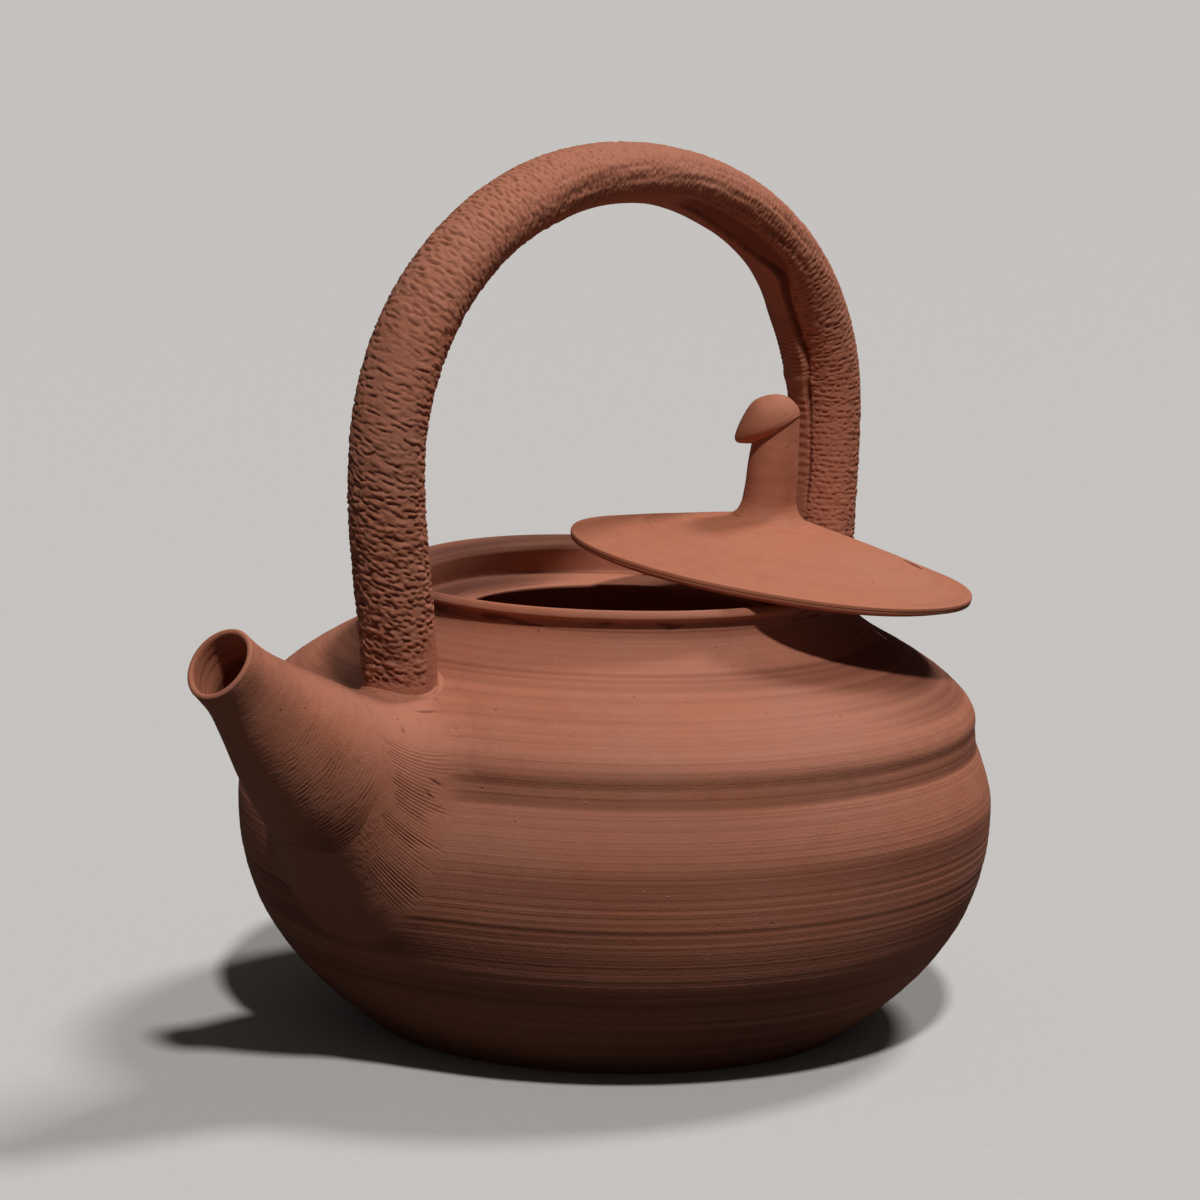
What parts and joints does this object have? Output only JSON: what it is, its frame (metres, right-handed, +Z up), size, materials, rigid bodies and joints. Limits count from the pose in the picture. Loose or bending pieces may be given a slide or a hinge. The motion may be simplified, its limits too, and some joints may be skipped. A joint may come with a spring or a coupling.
{
  "type": "clay teapot",
  "caption": "Unglazed clay teapot with a straight tapering spout, an overhead arch handle and a loose cone-shaped lid lying ajar on the rim.",
  "frame": {"origin": "centre of the flat base, on the surface the pot stands on", "axes": "+Z up, -X towards the spout's tip; the handle's arch lies in the XZ plane"},
  "size_m": [0.1869, 0.15, 0.1741],
  "materials": {
    "body_clay": "unglazed, fine throwing lines",
    "collar_clay": "unglazed, smoothed by hand",
    "spout_clay": "unglazed, smoothed with fine scratches",
    "strainer_clay": "unglazed, pierced",
    "handle_clay": "unglazed, impressed with a coarse bark-like texture",
    "luting_clay": "unglazed, combed and wiped",
    "lid_clay": "unglazed, smooth with fine turning lines",
    "knob_clay": "unglazed, pinched and smoothed"
  },
  "bodies": {
    "pot": {"belly": "body_clay", "shoulder": "body_clay", "collar": "collar_clay", "spout": "spout_clay", "strainer": "strainer_clay", "handle": "handle_clay", "front_luting": "luting_clay", "rear_luting": "luting_clay"},
    "lid": {"lid": "lid_clay", "knob_stem": "knob_clay", "knob_cap": "knob_clay"}
  },
  "joints": [
    {"name": "lid_lift", "type": "slide", "parent": "pot", "child": "lid", "axis": [0, 0, 1], "range_m": [0, 0.036]}
  ]
}
